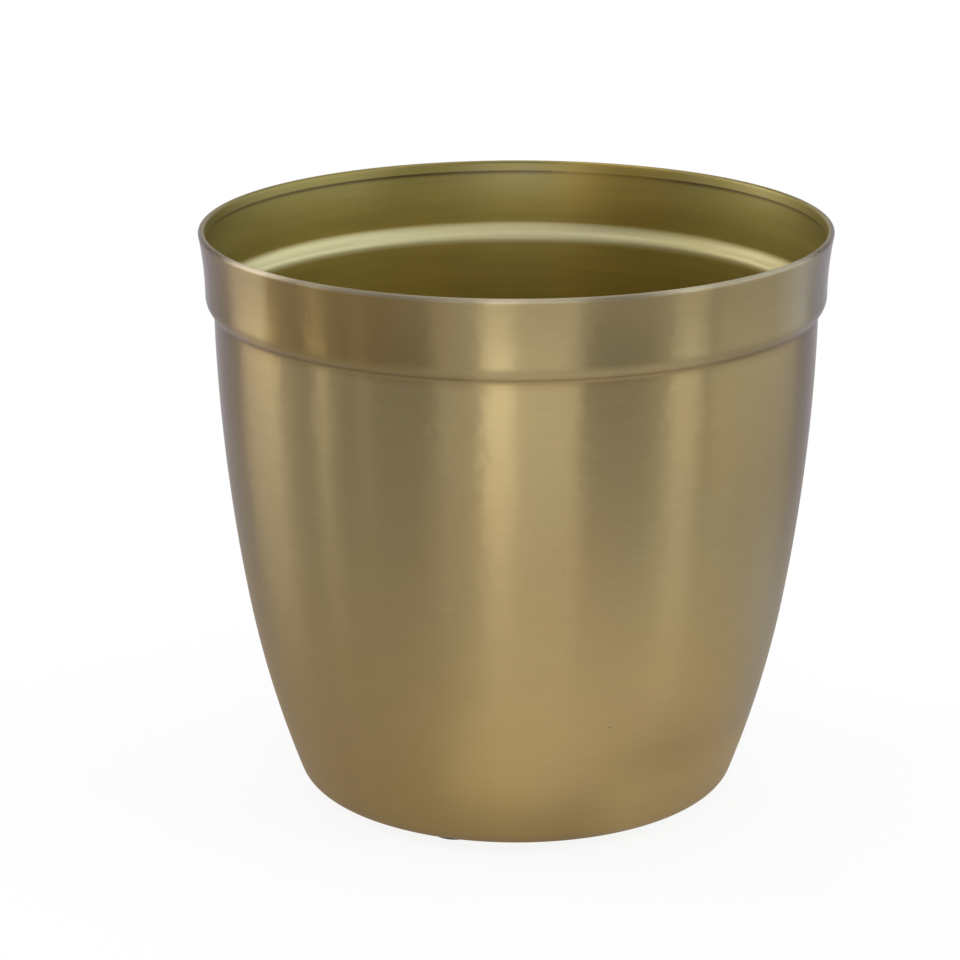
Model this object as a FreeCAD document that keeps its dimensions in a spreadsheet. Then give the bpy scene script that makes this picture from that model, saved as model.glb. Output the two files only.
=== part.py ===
import FreeCAD, Part
import math
import os

import Sketcher
from FreeCAD import Vector

# A sheet-metal cachepot: one spun shell that stands on stuck-on foot pads.
# The origin is on the ground, at the centre of the pot. +Z is up.

# Lengths in millimetres, leans and angles in degrees.
# A lean is the wall's angle from vertical, positive where the wall opens upwards.
SIZES = {
    "pot_height": 120.0,  # from the ground to the top of the rim
    "rim_diameter": 130.0,  # outside, over the hem
    "sheet_thickness": 0.5,
    "base_corner_radius": 5.0,  # outside, where the flat base turns up into the wall
    "lower_belly_radius": 218.0,
    "upper_belly_radius": 388.0,
    "belly_join_height": 42.0,  # above the ground, where the two belly curves meet
    "neck_inset": 2.85,  # from the rim's outer edge in to the neck
    "neck_lean": 1.0,
    "neck_fillet_radius": 1.5,  # outside, in the crease under the collar
    "collar_height": 17.45,  # from the neck to the top of the rim
    "collar_top_lean": 10.35,
    "shoulder_radius": 4.0,  # outside, where the step turns up into the collar
    "hem_bend_radius": 0.15,  # inside the fold
    "hem_flap_length": 1.7,  # the straight part of the hem, from the fold to the cut edge
    "pad_count": 3,
    "pad_diameter": 10.0,
    "pad_thickness": 0.85,
    "pad_inset": 0.4,  # from the edge of the flat base in to the pad
    "first_pad_angle": 250.0,  # counterclockwise from +X
    "adhesive_thickness": 0.15,
}


def add_sizes(doc):
    sheet = doc.addObject("Spreadsheet::Sheet", "sizes")
    for row, (name, value) in enumerate(SIZES.items(), start=1):
        sheet.set(f"A{row}", name)
        sheet.set(f"B{row}", str(value))
        sheet.setAlias(f"B{row}", name)
    doc.recompute()
    return sheet


def add_body(doc, name):
    body = doc.addObject("PartDesign::Body", name)
    body.Label = name
    return body


def add_sketch(body, name, plane_role):
    """A sketch on one of the origin planes of its own body."""
    sketch = body.newObject("Sketcher::SketchObject", name)
    plane = next(feature for feature in body.Origin.OriginFeatures if feature.Role == plane_role)
    sketch.AttachmentSupport = (plane, [""])
    sketch.MapMode = "FlatFace"
    return sketch


def start_of(line):
    """The first point of a line or an arc, as the sketcher counts it."""
    return line, 1


def end_of(line):
    return line, 2


def centre_of(arc):
    return arc, 3


def origin():
    """The sketch's own origin, which is the first point of its axes."""
    return -1, 1


def upright_axis():
    return (-2,)


def constrain(sketch, kind, *references):
    """Adds a constraint between lines, or between the points that the functions above give."""
    flat = []
    for reference in references:
        flat.extend(reference if isinstance(reference, tuple) else (reference,))
    return sketch.addConstraint(Sketcher.Constraint(kind, *flat))


def dimension(sketch, name, expression, kind, *references):
    """Adds a named dimension whose value is an expression of the sizes."""
    start_value = sketch.evalExpression(expression)
    value = getattr(start_value, "Value", start_value)
    if kind == "Angle":
        value = math.radians(value)
    index = constrain(sketch, kind, *references, value)
    sketch.renameConstraint(index, name)
    sketch.setExpression(f"Constraints.{name}", expression)


def towards(centre, distance, lean):
    """The point at a distance from a centre, straight out through a wall that has this lean."""
    return centre + Vector(math.cos(lean), -math.sin(lean), 0) * distance


class Bend:
    """An arc of the shell's outer face, followed upwards from one lean to the next.

    It bulges outwards where the lean falls, and inwards where the lean grows.
    """

    def __init__(self, centre, radius, first_lean, last_lean):
        self.centre = centre
        self.radius = radius
        self.first_lean = first_lean
        self.last_lean = last_lean
        self.outward = last_lean < first_lean
        self.first_point = start_of if self.outward else end_of
        self.last_point = end_of if self.outward else start_of

    def arc(self, depth):
        """The arc at a depth in the sheet, measured from the outer face."""
        if self.outward:
            circle = Part.Circle(self.centre, Vector(0, 0, 1), self.radius - depth)
            return Part.ArcOfCircle(circle, -self.first_lean, -self.last_lean)
        circle = Part.Circle(self.centre, Vector(0, 0, 1), self.radius + depth)
        return Part.ArcOfCircle(circle, math.pi - self.last_lean, math.pi - self.first_lean)


def collar_bends(sheet, neck):
    """The crease, the shoulder, the flared collar and the fold of the hem.

    The collar stands upright on its shoulder and leans out most at the rim. The chord of such an
    arc leans by half of that, and the step's lean follows from what height and reach it leaves.
    """
    crease = sheet.neck_fillet_radius
    shoulder = sheet.shoulder_radius
    fold = sheet.hem_bend_radius + sheet.sheet_thickness
    neck_lean = math.radians(sheet.neck_lean)
    top_lean = math.radians(sheet.collar_top_lean)
    chord_lean = top_lean / 2
    rise = sheet.collar_height - fold * (1 + math.sin(top_lean)) + crease * math.sin(neck_lean)
    reach = sheet.neck_inset - fold * (1 - math.cos(top_lean)) - crease * math.cos(neck_lean) - shoulder
    turn = math.sin(chord_lean) * rise - math.cos(chord_lean) * reach
    step_lean = chord_lean + math.acos(turn / (crease + shoulder))
    flare = (rise - (crease + shoulder) * math.sin(step_lean)) / math.sin(top_lean)

    crease_centre = towards(neck, crease, neck_lean)
    shoulder_centre = towards(crease_centre, -crease - shoulder, step_lean)
    flare_centre = towards(shoulder_centre, shoulder + flare, 0)
    fold_centre = towards(flare_centre, -flare - fold, top_lean)
    return [
        Bend(crease_centre, crease, neck_lean, step_lean),
        Bend(shoulder_centre, shoulder, step_lean, 0),
        Bend(flare_centre, flare, 0, top_lean),
        Bend(fold_centre, fold, top_lean, top_lean - math.pi),
    ]


def belly_bends(sheet, neck):
    """The base corner and the two belly curves, each worked out from the one above it."""
    corner = sheet.base_corner_radius
    lower = sheet.lower_belly_radius
    upper = sheet.upper_belly_radius
    underside_height = sheet.pad_thickness + sheet.adhesive_thickness
    neck_lean = math.radians(sheet.neck_lean)

    upper_centre = towards(neck, -upper, neck_lean)
    join_lean = math.asin((upper_centre.y - sheet.belly_join_height) / upper)
    lower_centre = towards(upper_centre, upper - lower, join_lean)
    corner_height = underside_height + corner
    foot_lean = math.asin((lower_centre.y - corner_height) / (lower - corner))
    corner_centre = towards(lower_centre, lower - corner, foot_lean)
    return [
        Bend(corner_centre, corner, math.pi / 2, foot_lean),
        Bend(lower_centre, lower, foot_lean, join_lean),
        Bend(upper_centre, upper, join_lean, neck_lean),
    ]


def draw_face(sketch, sheet, bends, depth):
    """Draws one face of the sheet: half of the base, every bend, and the hem's straight flap."""
    corner = bends[0]
    fold = bends[-1]
    flap_top = towards(fold.centre, fold.radius - depth, fold.last_lean)
    top_lean = math.radians(sheet.collar_top_lean)
    flap_run = Vector(math.sin(top_lean), math.cos(top_lean), 0) * sheet.hem_flap_length
    base_edge = towards(corner.centre, corner.radius - depth, corner.first_lean)

    base = sketch.addGeometry(Part.LineSegment(Vector(0, base_edge.y, 0), base_edge))
    arcs = [sketch.addGeometry(bend.arc(depth)) for bend in bends]
    flap = sketch.addGeometry(Part.LineSegment(flap_top - flap_run, flap_top))

    constrain(sketch, "Horizontal", base)
    constrain(sketch, "PointOnObject", start_of(base), upright_axis())
    constrain(sketch, "Tangent", end_of(base), corner.first_point(arcs[0]))
    for index in range(len(bends) - 1):
        lower_end = bends[index].last_point(arcs[index])
        upper_start = bends[index + 1].first_point(arcs[index + 1])
        constrain(sketch, "Tangent", lower_end, upper_start)
    constrain(sketch, "Tangent", fold.last_point(arcs[-1]), end_of(flap))
    return base, arcs, flap


def close_outline(sketch, outer, inner):
    """Joins the two faces along the pot's axis and at the hem's cut edge, which is square to the flap."""
    ends = []
    for outer_line, inner_line in ((outer[0], inner[0]), (outer[2], inner[2])):
        outer_point = sketch.getPoint(*start_of(outer_line))
        inner_point = sketch.getPoint(*start_of(inner_line))
        line = sketch.addGeometry(Part.LineSegment(outer_point, inner_point))
        constrain(sketch, "Coincident", start_of(line), start_of(outer_line))
        constrain(sketch, "Coincident", end_of(line), start_of(inner_line))
        ends.append(line)
    cut_edge = ends[1]
    constrain(sketch, "Perpendicular", cut_edge, outer[2])
    constrain(sketch, "Perpendicular", cut_edge, inner[2])
    return cut_edge


def mark_pad_circle(sketch, base):
    """Marks where the pads' centres lie on the underside, and measures their circle's radius there."""
    edge = sketch.getPoint(*end_of(base))
    mark = sketch.addGeometry(Part.Point(edge / 2), True)
    constrain(sketch, "PointOnObject", start_of(mark), base)
    dimension(sketch, "pad_to_edge", "sizes.pad_diameter / 2 + sizes.pad_inset",
              "DistanceX", start_of(mark), end_of(base))
    measured = sketch.getPoint(*start_of(mark)).x
    index = constrain(sketch, "DistanceX", origin(), start_of(mark), measured)
    sketch.setDriving(index, False)
    sketch.renameConstraint(index, "pad_circle_radius")


def draw_shell_section(sketch, sheet):
    """Half of the shell's section: a sheet of even thickness from the axis out to the hem's cut edge."""
    neck_radius = sheet.rim_diameter / 2 - sheet.neck_inset
    neck = Vector(neck_radius, sheet.pot_height - sheet.collar_height, 0)
    bends = belly_bends(sheet, neck) + collar_bends(sheet, neck)
    outer = draw_face(sketch, sheet, bends, 0)
    inner = draw_face(sketch, sheet, bends, sheet.sheet_thickness)
    for outer_arc, inner_arc in zip(outer[1], inner[1]):
        constrain(sketch, "Coincident", centre_of(outer_arc), centre_of(inner_arc))
    cut_edge = close_outline(sketch, outer, inner)

    base, arcs, flap = outer
    corner, lower, upper, crease, shoulder, flare, fold = arcs
    fold_radius = "(sizes.hem_bend_radius + sizes.sheet_thickness)"
    dimension(sketch, "underside_height", "sizes.pad_thickness + sizes.adhesive_thickness",
              "DistanceY", origin(), start_of(base))
    dimension(sketch, "corner_radius", "sizes.base_corner_radius", "Radius", corner)
    dimension(sketch, "lower_radius", "sizes.lower_belly_radius", "Radius", lower)
    dimension(sketch, "upper_radius", "sizes.upper_belly_radius", "Radius", upper)
    dimension(sketch, "join_height", "sizes.belly_join_height", "DistanceY", origin(), end_of(lower))
    dimension(sketch, "neck_radius", "sizes.rim_diameter / 2 - sizes.neck_inset",
              "DistanceX", origin(), end_of(upper))
    dimension(sketch, "neck_height", "sizes.pot_height - sizes.collar_height",
              "DistanceY", origin(), end_of(upper))
    dimension(sketch, "neck_slope", "sizes.upper_belly_radius * sin(sizes.neck_lean)",
              "DistanceY", end_of(upper), centre_of(upper))
    dimension(sketch, "crease_radius", "sizes.neck_fillet_radius", "Radius", crease)
    dimension(sketch, "shoulder_radius", "sizes.shoulder_radius", "Radius", shoulder)
    constrain(sketch, "Horizontal", centre_of(shoulder), end_of(shoulder))
    dimension(sketch, "fold_radius", fold_radius, "Radius", fold)
    dimension(sketch, "fold_reach", f"sizes.rim_diameter / 2 - {fold_radius}",
              "DistanceX", origin(), centre_of(fold))
    dimension(sketch, "fold_height", f"sizes.pot_height - {fold_radius}",
              "DistanceY", origin(), centre_of(fold))
    dimension(sketch, "fold_sweep", "180", "Angle", fold)
    dimension(sketch, "flap_angle", "90 - sizes.collar_top_lean", "Angle", flap)
    dimension(sketch, "flap_length", "sizes.hem_flap_length", "Distance", flap)
    dimension(sketch, "thickness", "sizes.sheet_thickness", "Distance", cut_edge)

    mark_pad_circle(sketch, base)


def add_pot_shell(doc, sheet):
    """The pot itself: flat base, curved wall, stepped collar and inward hem, spun from one disc."""
    body = add_body(doc, "pot_shell")
    sketch = add_sketch(body, "shell_section", "XZ_Plane")
    draw_shell_section(sketch, sheet)
    spun = body.newObject("PartDesign::Revolution", "spun_sheet")
    spun.Profile = sketch
    spun.ReferenceAxis = (sketch, ["V_Axis"])
    spun.Angle = 360
    sketch.Visibility = False
    return body


def add_disc(doc, name, thickness):
    """A round disc of the pads' diameter that lies on its own body's ground plane."""
    body = add_body(doc, name)
    sketch = add_sketch(body, f"{name}_outline", "XY_Plane")
    radius = "sizes.pad_diameter / 2"
    drawn_circle = Part.Circle(Vector(0, 0, 0), Vector(0, 0, 1), sketch.evalExpression(radius))
    circle = sketch.addGeometry(drawn_circle)
    constrain(sketch, "Coincident", centre_of(circle), origin())
    dimension(sketch, "disc_radius", radius, "Radius", circle)
    disc = body.newObject("PartDesign::Pad", f"{name}_disc")
    disc.Profile = sketch
    disc.setExpression("Length", thickness)
    sketch.Visibility = False
    return body


def place_on_pad_circle(body, index):
    """Centres a piece on the pads' circle, which lies just inside the edge of the flat base."""
    radius = "shell_section.Constraints.pad_circle_radius"
    angle = f"(sizes.first_pad_angle + {index} * 360 / sizes.pad_count)"
    body.setExpression("Placement.Base.x", f"{radius} * cos({angle})")
    body.setExpression("Placement.Base.y", f"{radius} * sin({angle})")


def add_foot_pad(doc, index):
    """A dark foam pad, die-cut from flat sheet, that stands on the ground."""
    body = add_disc(doc, f"foot_pad_{index + 1}", "sizes.pad_thickness")
    place_on_pad_circle(body, index)
    return body


def add_foot_adhesive(doc, index):
    """The thin adhesive disc, cut with the pad, that holds it to the bare underside."""
    body = add_disc(doc, f"foot_adhesive_{index + 1}", "sizes.adhesive_thickness")
    place_on_pad_circle(body, index)
    body.setExpression("Placement.Base.z", "sizes.pad_thickness")
    return body


def check(doc, bodies):
    for feature in doc.Objects:
        if "Invalid" in feature.State or "Error" in feature.State:
            raise RuntimeError(f"{feature.Name} failed: {feature.State}")
    for body in bodies:
        shape = body.Shape
        if shape.isNull() or not shape.isValid() or len(shape.Solids) != 1:
            raise RuntimeError(f"{body.Label} is not one valid solid")
        print(f"{body.Label}: {shape.Volume:.2f} cubic millimetres")


doc = FreeCAD.newDocument("cachepot")
sheet = add_sizes(doc)
bodies = [add_pot_shell(doc, sheet)]
for foot in range(int(sheet.pad_count)):
    bodies.append(add_foot_pad(doc, foot))
    bodies.append(add_foot_adhesive(doc, foot))
doc.recompute()
check(doc, bodies)

os.makedirs("parts", exist_ok=True)
for body in bodies:
    body.Shape.exportStep(f"parts/{body.Label}.step")
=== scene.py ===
import math

import bpy
import numpy as np
from mathutils import Matrix, Vector


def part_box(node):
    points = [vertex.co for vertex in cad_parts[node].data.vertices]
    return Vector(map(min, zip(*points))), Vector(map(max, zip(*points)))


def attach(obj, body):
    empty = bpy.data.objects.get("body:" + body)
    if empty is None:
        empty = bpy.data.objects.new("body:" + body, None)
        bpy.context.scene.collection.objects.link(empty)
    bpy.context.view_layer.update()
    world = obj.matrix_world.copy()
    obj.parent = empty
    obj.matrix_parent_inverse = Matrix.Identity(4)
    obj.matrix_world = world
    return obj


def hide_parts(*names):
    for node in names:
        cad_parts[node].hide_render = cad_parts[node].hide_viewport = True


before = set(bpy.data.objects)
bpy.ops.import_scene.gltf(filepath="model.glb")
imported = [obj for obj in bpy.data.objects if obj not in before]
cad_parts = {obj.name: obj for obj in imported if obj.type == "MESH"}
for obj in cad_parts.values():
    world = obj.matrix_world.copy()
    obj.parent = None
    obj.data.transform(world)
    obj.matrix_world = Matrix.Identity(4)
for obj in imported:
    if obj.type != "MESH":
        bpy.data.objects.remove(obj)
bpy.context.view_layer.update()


# The pot shell. It is one disc of brass-coloured sheet metal, 0.5 mm thick, spun over a former: flat
# base, curved wall, a step out to the flaring collar, and a hem rolled inwards at the rim. It is
# brushed round and round on the lathe, inside and out, and then lacquered.

pot_height = 0.120
rim_radius = 0.064999
sheet = 0.0005
underside = 0.001
corner_radius = 0.005
lower_belly_radius = 0.218
upper_belly_radius = 0.388
belly_join = 0.042
neck_inset = 0.00285
neck_lean = math.radians(1.0)
crease_radius = 0.0015
collar_height = 0.01745
collar_top_lean = math.radians(10.35)
shoulder_radius = 0.004
fold_radius = 0.00065
flap_length = 0.0017


def towards(centre, distance, lean):
    """The point (radius, height) at a distance from a centre, straight out through a wall of that lean.

    A lean is the wall's angle from upright, so "straight out" is (cos lean, -sin lean).
    """
    return centre + distance * np.array([math.cos(lean), -math.sin(lean)])


neck = np.array([rim_radius - neck_inset, pot_height - collar_height])
chord_lean = collar_top_lean / 2
rise = (collar_height - fold_radius * (1 + math.sin(collar_top_lean))
        + crease_radius * math.sin(neck_lean))
reach = (neck_inset - fold_radius * (1 - math.cos(collar_top_lean))
         - crease_radius * math.cos(neck_lean) - shoulder_radius)
turn = math.sin(chord_lean) * rise - math.cos(chord_lean) * reach
step_lean = chord_lean + math.acos(turn / (crease_radius + shoulder_radius))
flare_radius = ((rise - (crease_radius + shoulder_radius) * math.sin(step_lean))
                / math.sin(collar_top_lean))

crease_centre = towards(neck, crease_radius, neck_lean)
shoulder_centre = towards(crease_centre, -crease_radius - shoulder_radius, step_lean)
flare_centre = towards(shoulder_centre, shoulder_radius + flare_radius, 0)
fold_centre = towards(flare_centre, -flare_radius - fold_radius, collar_top_lean)
upper_centre = towards(neck, -upper_belly_radius, neck_lean)
join_lean = math.asin((upper_centre[1] - belly_join) / upper_belly_radius)
lower_centre = towards(upper_centre, upper_belly_radius - lower_belly_radius, join_lean)
foot_lean = math.asin((lower_centre[1] - underside - corner_radius)
                      / (lower_belly_radius - corner_radius))
corner_centre = towards(lower_centre, lower_belly_radius - corner_radius, foot_lean)

# Each bend of the sheet from the base to the rim: centre, outer radius, first and last lean, points.
bends = [
    (corner_centre, corner_radius, math.pi / 2, foot_lean, 12),
    (lower_centre, lower_belly_radius, foot_lean, join_lean, 20),
    (upper_centre, upper_belly_radius, join_lean, neck_lean, 24),
    (crease_centre, crease_radius, neck_lean, step_lean, 10),
    (shoulder_centre, shoulder_radius, step_lean, 0, 10),
    (flare_centre, flare_radius, 0, collar_top_lean, 12),
    (fold_centre, fold_radius, collar_top_lean, collar_top_lean - math.pi, 18),
]


def sheet_face(depth):
    """Points (radius, height) of one face of the sheet, from the pot's axis to the hem's cut edge.

    A bend that bulges outwards, with a falling lean, is centre + (R - depth) out through the wall.
    One that bulges inwards, with a growing lean, is centre - (R + depth) out through the wall.
    """
    runs = []
    for centre, radius, first, last, count in bends:
        lean = np.linspace(first, last, count)
        distance = radius - depth if last < first else -radius - depth
        runs.append(centre + distance * np.stack([np.cos(lean), -np.sin(lean)], axis=1))
    foot_edge = runs[0][0]
    base = np.linspace([0, foot_edge[1]], foot_edge, 8)
    down = -np.array([math.sin(collar_top_lean), math.cos(collar_top_lean)])
    flap = runs[-1][-1] + np.outer(np.linspace(0, flap_length, 4), down)
    parts = [base] + runs + [flap]
    return np.concatenate([part[1:] if index else part for index, part in enumerate(parts)])


def run_length(profile):
    """The distance along a profile from its first point to each of its points."""
    return np.concatenate([[0], np.cumsum(np.linalg.norm(np.diff(profile, axis=0), axis=1))])


def turned(name, profile, facets, places=((0, 0),), sharp=()):
    """A closed solid of revolution: profile point (r, z) goes to (r cos a, r sin a, z) for all a.

    The profile starts and ends on the axis, with its outside on the right. Each place is the (x, y)
    of one copy. Rings whose index is in sharp keep a crisp edge. The points carry "sheet_length",
    the distance along the profile, and the UV map is (a / 2 pi, share of that length).
    """
    rings = len(profile) - 2
    angle = 2 * np.pi * np.arange(facets) / facets
    across = profile[1:-1, 0, None]
    ring_points = np.stack([
        across * np.cos(angle),
        across * np.sin(angle),
        np.broadcast_to(profile[1:-1, 1, None], (rings, facets)),
    ], axis=2).reshape(-1, 3)
    poles = np.array([[0, 0, profile[0, 1]], [0, 0, profile[-1, 1]]])
    one = np.concatenate([ring_points, poles])
    length = run_length(profile)
    one_length = np.concatenate([np.repeat(length[1:-1], facets), length[[0, -1]]])

    here = np.arange(facets)
    after = (here + 1) % facets
    lower = facets * np.arange(rings - 1)[:, None]
    upper = lower + facets
    quads = np.stack([lower + here, lower + after, upper + after, upper + here], axis=2)
    quads = quads.reshape(-1, 4)
    top_ring = facets * (rings - 1)
    first_pole, last_pole = len(ring_points), len(ring_points) + 1
    first_fan = np.stack([np.full(facets, first_pole), after, here], axis=1)
    last_fan = np.stack([np.full(facets, last_pole), top_ring + here, top_ring + after], axis=1)

    u_low, u_high = here / facets, (here + 1) / facets
    v = length / length[-1]
    v_low = np.broadcast_to(v[1:-2, None], (rings - 1, facets))
    v_high = np.broadcast_to(v[2:-1, None], (rings - 1, facets))
    low, high = np.broadcast_to(u_low, v_low.shape), np.broadcast_to(u_high, v_low.shape)
    quad_uv = np.stack([low, v_low, high, v_low, high, v_high, low, v_high], axis=2).reshape(-1, 2)
    middle = (u_low + u_high) / 2
    first_uv = np.stack([middle, np.full(facets, v[0]), u_high, np.full(facets, v[1]),
                         u_low, np.full(facets, v[1])], axis=1).reshape(-1, 2)
    last_uv = np.stack([middle, np.full(facets, v[-1]), u_low, np.full(facets, v[-2]),
                        u_high, np.full(facets, v[-2])], axis=1).reshape(-1, 2)

    points = np.concatenate([one + [px, py, 0] for px, py in places])
    faces = []
    for copy in range(len(places)):
        for group in (quads, first_fan, last_fan):
            faces.extend((group + copy * len(one)).tolist())
    mesh = bpy.data.meshes.new(name)
    mesh.from_pydata(points, [], faces, shade_flat=False)
    lengths = mesh.attributes.new("sheet_length", "FLOAT", "POINT")
    lengths.data.foreach_set("value", np.tile(one_length, len(places)).astype(np.float32))
    uv_map = mesh.uv_layers.new(name="UVMap")
    one_uv = np.concatenate([quad_uv, first_uv, last_uv])
    uv_map.uv.foreach_set("vector", np.tile(one_uv, (len(places), 1)).astype(np.float32).ravel())

    ends = np.empty(2 * len(mesh.edges), np.int32)
    mesh.edges.foreach_get("vertices", ends)
    ring_of = ends.reshape(-1, 2) % len(one) // facets
    along_ring = ring_of[:, 0] == ring_of[:, 1]
    crisp = along_ring & np.isin(ring_of[:, 0] + 1, list(sharp))
    mesh.attributes.new("sharp_edge", "BOOLEAN", "EDGE").data.foreach_set("value", crisp)
    piece = bpy.data.objects.new(name, mesh)
    bpy.context.scene.collection.objects.link(piece)
    return piece


outer_face = sheet_face(0)
inner_face = sheet_face(sheet)
shell_profile = np.concatenate([outer_face, inner_face[::-1]])
cut_edge_rings = (len(outer_face) - 1, len(outer_face))
shell_facets = 288
pot = turned("spun_pot_shell", shell_profile, shell_facets, sharp=cut_edge_rings)

# Where along the sheet the rim, the hem's cut edge and the line of the crease lie. The wall's rings
# are those between the base and the rim, whose heights only grow.
outer_length = run_length(outer_face)
rim_ring = int(outer_face[:, 1].argmax())
rim_at = float(outer_length[rim_ring])
cut_at = float(outer_length[-1])
hem_end = float(outer_face[-1, 1])
wall = slice(20, 75)
crease_rise = 0.0009
crease_at = float(np.interp(neck[1] + crease_rise, outer_face[wall, 1], outer_length[wall]))


class Wire:
    """A socket whose maths is written with Python's operators. Each operator adds a Math node."""

    def __init__(self, finish, socket):
        self.finish = finish
        self.socket = socket

    def maths(self, operation, *values):
        inputs = dict(enumerate(values))
        return self.finish.node("ShaderNodeMath", {"operation": operation}, inputs)

    def __add__(self, other):
        return self.maths("ADD", self, other)

    def __sub__(self, other):
        return self.maths("SUBTRACT", self, other)

    def __rsub__(self, other):
        return self.maths("SUBTRACT", other, self)

    def __mul__(self, other):
        return self.maths("MULTIPLY", self, other)

    def __truediv__(self, other):
        return self.maths("DIVIDE", self, other)

    def __pow__(self, power):
        return self.maths("POWER", self, power)

    __radd__ = __add__
    __rmul__ = __mul__

    def output(self, name):
        """Another output of the same node."""
        return Wire(self.finish, self.socket.node.outputs[name])

    def step(self, start, end):
        """0 up to start, 1 from end, and smooth between them. It falls where end is below start."""
        ends = {1: start, 2: end, 3: 0.0, 4: 1.0}
        if end < start:
            ends = {1: end, 2: start, 3: 1.0, 4: 0.0}
        settings = {"interpolation_type": "SMOOTHSTEP"}
        return self.finish.node("ShaderNodeMapRange", settings, {0: self} | ends)


class Finish:
    """A material for one finish of the object, made of nodes."""

    def __init__(self, name):
        self.material = bpy.data.materials.new(name)
        self.material.use_nodes = True
        self.tree = self.material.node_tree
        self.tree.nodes.clear()

    def node(self, kind, settings, inputs, output=0):
        """Adds a node, with its settings first and then the value or wire of each input."""
        node = self.tree.nodes.new(kind)
        for name, value in settings.items():
            setattr(node, name, value)
        for name, value in inputs.items():
            if isinstance(value, Wire):
                self.tree.links.new(value.socket, node.inputs[name])
            else:
                node.inputs[name].default_value = value
        return Wire(self, node.outputs[output]) if node.outputs else None

    def colours(self, share, first, second):
        """The first colour where the share is 0, and the second where it is 1."""
        return self.node("ShaderNodeMix", {"data_type": "RGBA"}, {0: share, 6: first, 7: second}, 2)

    def noise(self, vector, detail=2.0):
        inputs = {"Vector": vector, "Scale": 1.0, "Detail": detail, "Roughness": 0.5}
        return self.node("ShaderNodeTexNoise", {}, inputs)

    def patches(self, place, per_metre):
        """Noise that is as long as it is wide, with about that many patches in a metre."""
        inputs = {0: place, "Scale": per_metre}
        return self.noise(self.node("ShaderNodeVectorMath", {"operation": "SCALE"}, inputs))

    def dress(self, piece, surface, inside_from=None):
        """Gives the piece this material, with that shader as its surface.

        With inside_from, only the pot's inside gets it: the bands from that ring on and the last fan.
        turned() lists the bands first, then the fan at the first pole and the fan at the last one.
        """
        self.node("ShaderNodeOutputMaterial", {}, {"Surface": surface})
        piece.data.materials.append(self.material)
        if inside_from is not None:
            slots = np.zeros(len(piece.data.polygons), np.int32)
            slots[shell_facets * inside_from:] = len(piece.data.materials) - 1
            slots[-2 * shell_facets:-shell_facets] = 0
            piece.data.polygons.foreach_set("material_index", slots)


def spun_finish(name):
    """A finish for sheet brushed on the lathe, with its wires for place, radius and length."""
    finish = Finish(name)
    finish.place = finish.node("ShaderNodeTexCoord", {}, {}, "Object")
    finish.x = finish.node("ShaderNodeSeparateXYZ", {}, {0: finish.place}, "X")
    finish.y = finish.x.output("Y")
    finish.z = finish.x.output("Z")
    finish.from_axis = (finish.x * finish.x + finish.y * finish.y) ** 0.5 + 1e-6
    finish.length = finish.node("ShaderNodeAttribute", {"attribute_name": "sheet_length"}, {}, "Fac")
    return finish


def lathe_lines(finish, turns, pitch, detail=2.0):
    """Noise drawn out round the pot.

    A new line comes each pitch along the sheet, and it is broken about turns times in a radian.
    """
    vector = finish.node("ShaderNodeCombineXYZ", {}, {
        0: finish.x / finish.from_axis * turns,
        1: finish.y / finish.from_axis * turns,
        2: finish.length / pitch,
    })
    return finish.noise(vector, detail)


def brushed_surface(finish, tone, shade, roughness, relief, stretch, lacquer):
    """The metal of that tone under a clear lacquer, with its gloss stretched across the brushing.

    The shade darkens or lightens the tone, and the relief is the height of the surface in metres.
    """
    shaded = finish.node("ShaderNodeMix", {"data_type": "RGBA", "blend_type": "MULTIPLY"}, {
        0: 1.0,
        6: tone,
        7: finish.node("ShaderNodeCombineXYZ", {}, {0: shade, 1: shade, 2: shade}),
    }, 2)
    bumped = finish.node("ShaderNodeBump", {}, {"Strength": 1.0, "Distance": 1.0, "Height": relief})
    return finish.node("ShaderNodeBsdfPrincipled", {"distribution": "MULTI_GGX"}, {
        "Base Color": shaded,
        "Metallic": 1.0,
        "Roughness": roughness,
        "Normal": bumped,
        "Anisotropic": stretch,
        "Anisotropic Rotation": 0.25,
        "Specular Tint": (0.58, 0.57, 0.66, 1),
        "Coat Weight": lacquer,
        "Coat Roughness": 0.35,
    })


# The outside. Its tone carries painted light. It is warmer low down, a painted reflection of the shaded
# floor near the base, paler low at the right, a painted sheen, and cooler at the right of the belly, a
# painted reflection of the cool light from that side. The collar is darker, as painted shade, with
# painted brown reflections at its left and a painted sheen at its right end. A painted highlight runs
# along the rim, and painted shade lies in the crease.

outside_colour = (0.250, 0.193, 0.094, 1)
warm_floor_reflection = (0.276, 0.192, 0.074, 1)
tarnish_colour = (0.262, 0.184, 0.084, 1)
cool_light_reflection_colour = (0.30, 0.25, 0.155, 1)
low_right_sheen_colour = (0.35, 0.25, 0.105, 1)
collar_shade_colour = (0.218, 0.170, 0.084, 1)
collar_brown_reflection = (0.186, 0.124, 0.044, 1)
collar_end_sheen_colour = (0.31, 0.27, 0.18, 1)
crease_shade_colour = (0.17, 0.108, 0.042, 1)
rim_highlight_colour = (0.46, 0.40, 0.29, 1)

brass = spun_finish("brushed_brass")
fine_lines = lathe_lines(brass, turns=3.0, pitch=0.00042)
broad_lines = lathe_lines(brass, turns=6.0, pitch=0.0013)
scratches = lathe_lines(brass, turns=11.0, pitch=0.00045, detail=1.0).step(0.70, 0.76)
ripples = lathe_lines(brass, turns=0.35, pitch=0.0065, detail=1.0)
dents = brass.patches(brass.place, 130.0)
pimples = brass.patches(brass.place, 400.0)
blotches = brass.patches(brass.place, 55.0)
tarnish = brass.patches(brass.place, 26.0).step(0.42, 0.72)
speck_cells = brass.node("ShaderNodeTexVoronoi", {}, {"Vector": brass.place, "Scale": 130.0})
specks = speck_cells.step(0.035, 0.015) * brass.patches(brass.place, 160.0).step(0.50, 0.55)

# Painted reflection: the tone is warmer low down, where the shaded floor near the base is mirrored.
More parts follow.
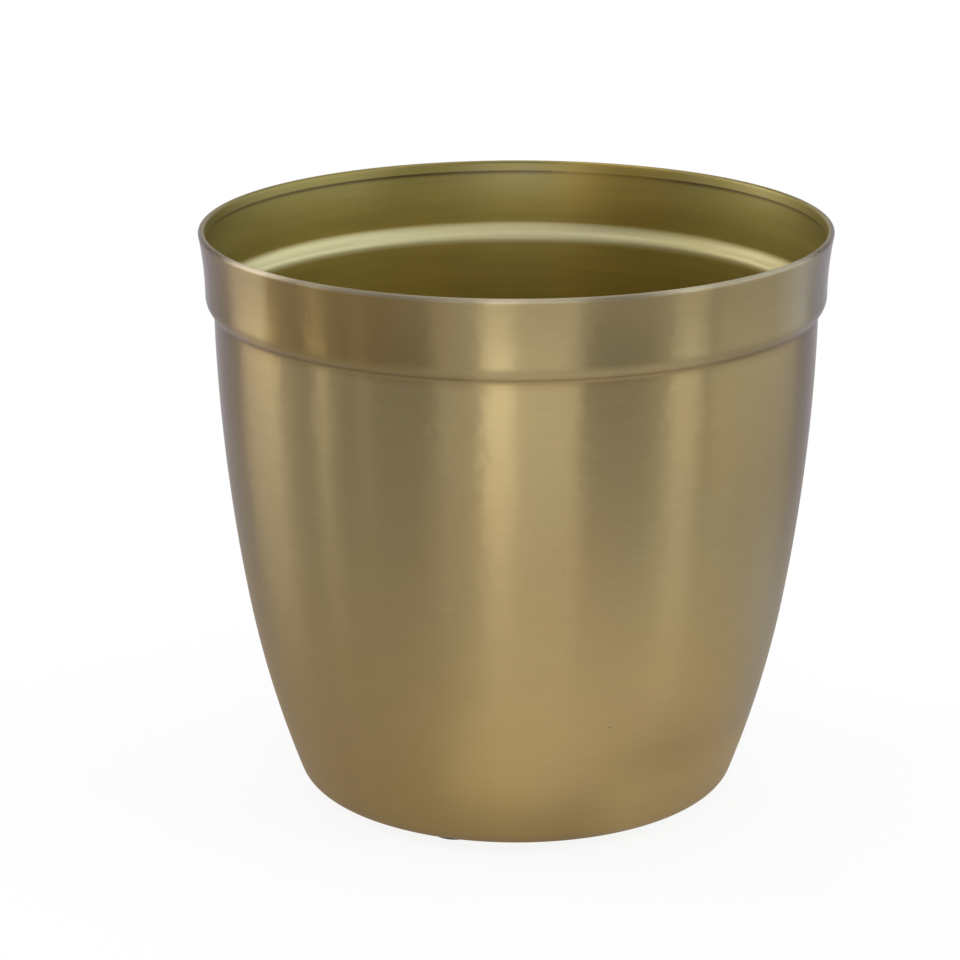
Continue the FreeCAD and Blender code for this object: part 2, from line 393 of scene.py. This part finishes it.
low_floor_reflection = brass.z.step(0.075, 0.006)
# Painted reflection: the tone is cooler at the right of the belly, from the cool light on that side.
cool_light_reflection = brass.x.step(0.040, 0.052) * brass.z.step(0.078, 0.045)
# Painted sheen: the tone is paler low at the right of the belly.
low_right_sheen = brass.x.step(0.010, 0.024) * brass.z.step(0.022, 0.010)
# Painted light on the collar: its tone is darker all round as painted shade, browner at the left as a
# painted reflection, and paler at the right end as a painted sheen.
collar = brass.z.step(0.1030, 0.1060) * brass.x.step(-0.0500, -0.0470)
clear_of_brown_reflection = brass.x.step(-0.030, -0.004)
collar_end_sheen = brass.x.step(0.0495, 0.0580) * brass.x.step(0.0642, 0.0612)
# Painted shade in the crease under the collar.
crease_shade = (brass.length.step(crease_at - 0.0026, crease_at)
          * brass.length.step(crease_at + 0.0008, crease_at + 0.0001))
# Painted highlight along the rim's crest.
rim_highlight_band = brass.length.step(rim_at - 0.0014, rim_at - 0.0005)

collar_tone = brass.colours(clear_of_brown_reflection, collar_brown_reflection, collar_shade_colour)
collar_tone = brass.colours(collar_end_sheen, collar_tone, collar_end_sheen_colour)
outer_tone = brass.colours(low_floor_reflection, outside_colour, warm_floor_reflection)
for share, colour in (
    (tarnish * 0.7, tarnish_colour),
    (cool_light_reflection * 0.8, cool_light_reflection_colour),
    (low_right_sheen * 0.85, low_right_sheen_colour),
    (collar * 0.85, collar_tone),
    (crease_shade * 0.45, crease_shade_colour),
    (rim_highlight_band * 0.8, rim_highlight_colour),
):
    outer_tone = brass.colours(share, outer_tone, colour)
outer_shade = (0.88 + broad_lines * 0.10 + fine_lines * 0.08 + blotches * 0.06 + scratches * 0.10
               - specks * 0.75)
outer_relief = (fine_lines * 0.000002 + broad_lines * 0.000003 + ripples * 0.000008
                + dents * 0.00009 + pimples * 0.00003 - scratches * 0.000006)

# Two brushings share that tone. The sharp one, high on the pot, draws the lamps out into streaks,
# and the soft one spreads them to a sheen low down.

sharp_brushing = brushed_surface(
    brass,
    outer_tone,
    shade=outer_shade,
    roughness=(0.295 + brass.z.step(0.095, 0.030) * 0.05 + rim_highlight_band * 0.2
               + broad_lines * 0.02 + fine_lines * 0.02 + scratches * 0.03),
    relief=outer_relief,
    stretch=1.0,
    lacquer=0.10,
)
soft_brushing = brushed_surface(
    brass,
    outer_tone,
    shade=outer_shade,
    roughness=0.50 + broad_lines * 0.04 + fine_lines * 0.04,
    relief=outer_relief,
    stretch=0.0,
    lacquer=0.10,
)
outer_surface = brass.node("ShaderNodeMixShader", {}, {
    0: brass.z.step(0.098, 0.022) * 0.92,
    1: sharp_brushing,
    2: soft_brushing,
})
brass.dress(pot, outer_surface)

# The inside is yellower than the outside, and yellower still deep down: a painted reflection of the
# brass in itself. Painted shade darkens it under the hem and in an upright streak through the middle,
# and a painted shadow makes it nearly black in the gap behind the hem's cut edge. A painted reflection
# lightens a patch high on the back wall, and a painted highlight runs pale along the ridge, the back of
# the crease, weaker towards its right end.

# The inside's own tone is yellower than the outside's: a painted reflection of the brass in itself.
inside_colour = (0.38, 0.300, 0.074, 1)
deep_inside_reflection_colour = (0.43, 0.312, 0.060, 1)
back_wall_reflection_colour = (0.38, 0.270, 0.066, 1)
hem_shade_colour = (0.21, 0.170, 0.046, 1)
hem_gap_shadow_colour = (0.07, 0.045, 0.012, 1)
ridge_highlight_colour = (0.68, 0.635, 0.39, 1)
ridge_height = 0.1041
ridge_half_width = 0.0025

inner_brass = spun_finish("brushed_brass_inside")
inner_fine = lathe_lines(inner_brass, turns=1.5, pitch=0.00045)
inner_broad = lathe_lines(inner_brass, turns=2.5, pitch=0.0015)
# Painted reflection of the brass in itself: yellower deep down.
deep_inside_reflection = inner_brass.z.step(0.105, 0.06)
# Painted shade on the upper wall, under the hem.
hem_shade_band = inner_brass.z.step(0.104, 0.119)
# Painted shadow in the gap behind the hem's cut edge.
hem_gap_shadow = (inner_brass.z.step(hem_end - 0.0011, hem_end - 0.0002)
       * inner_brass.length.step(cut_at - 0.0003, cut_at))
# Painted reflection: a lighter brown patch high on the back wall, right of the middle.
back_wall_reflection = (inner_brass.x.step(0.004, 0.016) * inner_brass.x.step(0.040, 0.026)
               * inner_brass.y.step(0.0, 0.03) * inner_brass.z.step(0.1060, 0.1080))
# Painted highlight: the tone is pale along the ridge, and weaker towards its right end.
from_ridge = (inner_brass.z - ridge_height) / ridge_half_width
ridge = (1 - from_ridge * from_ridge).step(0.0, 0.9)
right_end = inner_brass.x.step(0.014, 0.046)
# Painted shade: a darker upright streak through the middle of the inside, broken at the ridge.
middle_streak_shade = (inner_brass.x.step(-0.022, -0.009) * inner_brass.x.step(0.013, 0.002)
              * (1 - ridge))

inner_tone = inner_brass.colours(deep_inside_reflection, inside_colour, deep_inside_reflection_colour)
for share, colour in (
    (hem_shade_band * 0.9, hem_shade_colour),
    (hem_gap_shadow * 0.85, hem_gap_shadow_colour),
    (back_wall_reflection * 0.7, back_wall_reflection_colour),
    (ridge * (0.85 - right_end * 0.32), ridge_highlight_colour),
):
    inner_tone = inner_brass.colours(share, inner_tone, colour)
inner_surface = brushed_surface(
    inner_brass,
    inner_tone,
    shade=0.84 + inner_broad * 0.26 + inner_fine * 0.18 - middle_streak_shade * 0.17,
    roughness=0.44 + ridge * 0.14 + inner_broad * 0.08 + inner_fine * 0.05,
    relief=inner_fine * 0.000006 + inner_broad * 0.000006,
    stretch=0.0,
    lacquer=0.45,
)
inner_brass.dress(pot, inner_surface, inside_from=rim_ring)
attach(pot, "root")
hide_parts("pot_shell")


# The adhesive discs. Each is a thin double-sided film, die-cut together with its pad, and it holds
# the pad to the bare metal of the underside.

film_facets = 96
film_colour = (0.70, 0.69, 0.64, 1)
film_pale = (0.80, 0.79, 0.76, 1)

film = Finish("adhesive_film")
film_place = film.node("ShaderNodeTexCoord", {}, {}, "Object")
air = film.patches(film_place, 900.0)
film_tone = film.colours(air.step(0.4, 0.7), film_colour, film_pale)
film_shader = film.node("ShaderNodeBsdfPrincipled", {}, {
    "Base Color": film_tone,
    "Roughness": 0.3 + air * 0.2,
})

for number in (1, 2, 3):
    node = f"foot_adhesive_{number}"
    low, high = (np.array(corner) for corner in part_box(node))
    middle = (low + high) / 2
    half, lip = (high[0] - low[0]) / 2, (high[2] - low[2]) / 5
    film_profile = np.array([
        [0, low[2]], [half - lip, low[2]], [half, low[2] + lip],
        [half, high[2] - lip], [half - lip, high[2]], [0, high[2]],
    ])
    disc = turned(f"adhesive_film_{number}", film_profile, film_facets, [middle[:2]],
                  sharp=(1, 2, 3, 4))
    film.dress(disc, film_shader)
    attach(disc, "root")
    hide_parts(node)


# The foot pads. Each is a disc of black closed-cell foam rubber, die-cut from flat sheet, whose cut
# edge swells a little under the pot and shows its cells.

pad_facets = 128
edge_rings = 15
foam_colour = (0.012, 0.012, 0.012, 1)
dusty_colour = (0.05, 0.048, 0.045, 1)

foam = Finish("foot_foam")
foam_place = foam.node("ShaderNodeTexCoord", {}, {}, "Object")
cells = foam.node("ShaderNodeTexVoronoi", {}, {"Vector": foam_place, "Scale": 3800.0})
dust = foam.patches(foam_place, 500.0)
foam_tone = foam.colours(dust.step(0.45, 0.75) * 0.5 + cells * 0.3, foam_colour, dusty_colour)
foam_relief = foam.node("ShaderNodeBump", {}, {
    "Strength": 1.0,
    "Distance": 1.0,
    "Height": cells * 0.00012,
})
foam_shader = foam.node("ShaderNodeBsdfPrincipled", {}, {
    "Base Color": foam_tone,
    "Roughness": 0.82 + dust * 0.15,
    "Normal": foam_relief,
})

# The cut edge is widest half-way up. Towards its top and bottom the radius falls by the bulge, and
# close to them by the rounding too.
bulge = 0.00008
rounding = 0.00006

for number in (1, 2, 3):
    node = f"foot_pad_{number}"
    low, high = (np.array(corner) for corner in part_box(node))
    middle = (low + high) / 2
    half, thick = (high[0] - low[0]) / 2, high[2] - low[2]
    level = np.linspace(-1, 1, edge_rings)
    edge_radius = half - bulge * level ** 2 - rounding * level ** 8
    edge = np.stack([edge_radius, low[2] + thick * (1 + level) / 2], axis=1)
    pad_profile = np.concatenate([[[0, low[2]]], edge, [[0, high[2]]]])
    pad = turned(f"foam_pad_{number}", pad_profile, pad_facets, [middle[:2]], sharp=(1, edge_rings))
    foam.dress(pad, foam_shader)
    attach(pad, "root")
    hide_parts(node)


# The studio: a plain pale floor, seen through from beneath, under soft boxes that stand round the pot
# as upright strips, so that the brushed metal draws them out into tall streaks. Pale cards lie just
# above the floor in front of the pot, and the light from the right is slightly cool.

floor_finish = Finish("studio_floor")
floor_shader = floor_finish.node("ShaderNodeBsdfPrincipled", {}, {
    "Base Color": (0.90, 0.90, 0.895, 1),
    "Roughness": 1.0,
    "Specular IOR Level": 0.0,
})
plain_white = floor_finish.node("ShaderNodeEmission", {}, {"Color": (1, 1, 1, 1), "Strength": 1.0})
path = floor_finish.node("ShaderNodeLightPath", {}, {}, "Is Camera Ray")
mirrored = path.output("Is Glossy Ray") + path.output("Is Transmission Ray")
lifted = floor_finish.node("ShaderNodeMixShader", {}, {
    0: path * 0.88 + mirrored * 0.7,
    1: floor_shader,
    2: plain_white,
})
beneath = floor_finish.node("ShaderNodeNewGeometry", {}, {}, "Backfacing")
clear = floor_finish.node("ShaderNodeBsdfTransparent", {}, {})
floor_surface = floor_finish.node("ShaderNodeMixShader", {}, {0: beneath, 1: lifted, 2: clear})
floor_half, floor_level = 12, -0.00005
floor_corners = [(-floor_half, -floor_half, floor_level), (floor_half, -floor_half, floor_level),
                 (floor_half, floor_half, floor_level), (-floor_half, floor_half, floor_level)]
floor_mesh = bpy.data.meshes.new("studio_floor")
floor_mesh.from_pydata(floor_corners, [], [(0, 1, 2, 3)])
floor = bpy.data.objects.new("studio_floor", floor_mesh)
bpy.context.scene.collection.objects.link(floor)
floor_finish.dress(floor, floor_surface)


def soft_box(name, azimuth, elevation, distance, width, tall, level, aim, tint):
    """An area lamp of that level, where 1 looks white, turned to the point it aims at.

    It stands at aim + distance (sin a cos e, -cos a cos e, sin e), so azimuth 0 is the viewer's side.
    """
    a, e = math.radians(azimuth), math.radians(elevation)
    away = Vector((math.sin(a) * math.cos(e), -math.cos(a) * math.cos(e), math.sin(e)))
    lamp = bpy.data.lights.new(name, "AREA")
    lamp.shape = "RECTANGLE"
    lamp.size = width
    lamp.size_y = tall
    lamp.energy = level * math.pi * width * tall
    lamp.color = tint
    box = bpy.data.objects.new(name, lamp)
    box.location = Vector(aim) + away * distance
    box.rotation_euler = away.to_track_quat("Z", "Y").to_euler()
    box.visible_camera = False
    bpy.context.scene.collection.objects.link(box)


white = (1, 1, 1)
cool = (0.93, 0.98, 1.0)
cooler = (0.90, 0.97, 1.0)
pot_middle = (0, 0, 0.06)

# Name, azimuth, elevation, distance, width, height, level and tint.
strips = [
    ("ceiling_box", 180, 86, 1.5, 2.2, 2.2, 1.45, white),
    ("left_wide_strip", -108.6, 20, 1.35, 0.60, 1.05, 4.9, white),
    ("left_narrow_strip", -75, 18, 1.35, 0.15, 1.0, 3.6, white),
    ("left_faint_strip", -57, 18, 1.35, 0.10, 1.0, 1.2, white),
    ("front_faint_strip", -20, 9, 1.35, 0.36, 0.62, 1.6, white),
    ("front_narrow_strip", -6.4, 8, 1.35, 0.225, 0.45, 10.6, white),
    ("front_wide_strip", 10, 9, 1.35, 0.60, 0.62, 4.0, white),
    ("right_narrow_strip", 64, 22, 1.35, 0.32, 1.2, 3.9, cool),
    ("right_wide_strip", 101, 18, 1.35, 1.35, 1.0, 2.2, cooler),
    ("back_strip", 180, 18, 1.35, 1.70, 1.0, 1.0, white),
]
for name, azimuth, elevation, distance, width, tall, level, tint in strips:
    soft_box(name, azimuth, elevation, distance, width, tall, level, pot_middle, tint)

# Each card hangs this far under a point one metre up, so it lies 1 mm above the floor and faces up.
card_drop = 0.999

# Name, azimuth, elevation, width, depth, level and the point above it.
cards = [
    ("near_floor_card", 0, -90, 0.17, 0.070, 0.72, (0.060, -0.092, 1.0)),
    ("right_floor_card", 0, -90, 0.08, 0.09, 0.40, (0.100, -0.050, 1.0)),
    ("far_floor_card", 0, -90, 0.09, 0.10, 0.50, (0.045, -0.185, 1.0)),
    ("front_floor_strip", -12, -89.9, 0.024, 0.20, 0.40, (-0.048, -0.260, 1.0)),
    ("left_floor_card", -22, -89.9, 0.07, 0.20, 0.35, (-0.072, -0.210, 1.0)),
]
for name, azimuth, elevation, width, deep, level, above in cards:
    soft_box(name, azimuth, elevation, card_drop, width, deep, level, above, white)

world = bpy.data.worlds.new("studio_room")
world.use_nodes = True
world.node_tree.nodes["Background"].inputs["Color"].default_value = (1, 1, 1, 1)
world.node_tree.nodes["Background"].inputs["Strength"].default_value = 0.05
bpy.context.scene.world = world
bpy.context.scene.view_settings.view_transform = "Standard"


# The camera stands a little above the rim and looks down into the pot, as in the photograph.

camera_distance = 0.7043
camera_tilt = 0.2962
camera_turn = -0.0107
aim_height = 0.06505
focal_pixels = 3359.3
image_width = 960

ahead = Vector((0, math.cos(camera_tilt), -math.sin(camera_tilt)))
right = Vector((1, 0, 0))
look = ahead * math.cos(camera_turn) + right * math.sin(camera_turn)
side = right * math.cos(camera_turn) - ahead * math.sin(camera_turn)
up = side.cross(look)
camera_data = bpy.data.cameras.new("photo_camera")
camera_data.sensor_width = 36
camera_data.lens = focal_pixels / image_width * camera_data.sensor_width
camera_data.clip_start = 0.01
camera_data.clip_end = 40
camera = bpy.data.objects.new("photo_camera", camera_data)
turned_to = Matrix((side, up, -look)).transposed()
stand = Vector((0, 0, aim_height)) - ahead * camera_distance
camera.matrix_world = Matrix.Translation(stand) @ turned_to.to_4x4()
bpy.context.scene.collection.objects.link(camera)
bpy.context.scene.camera = camera
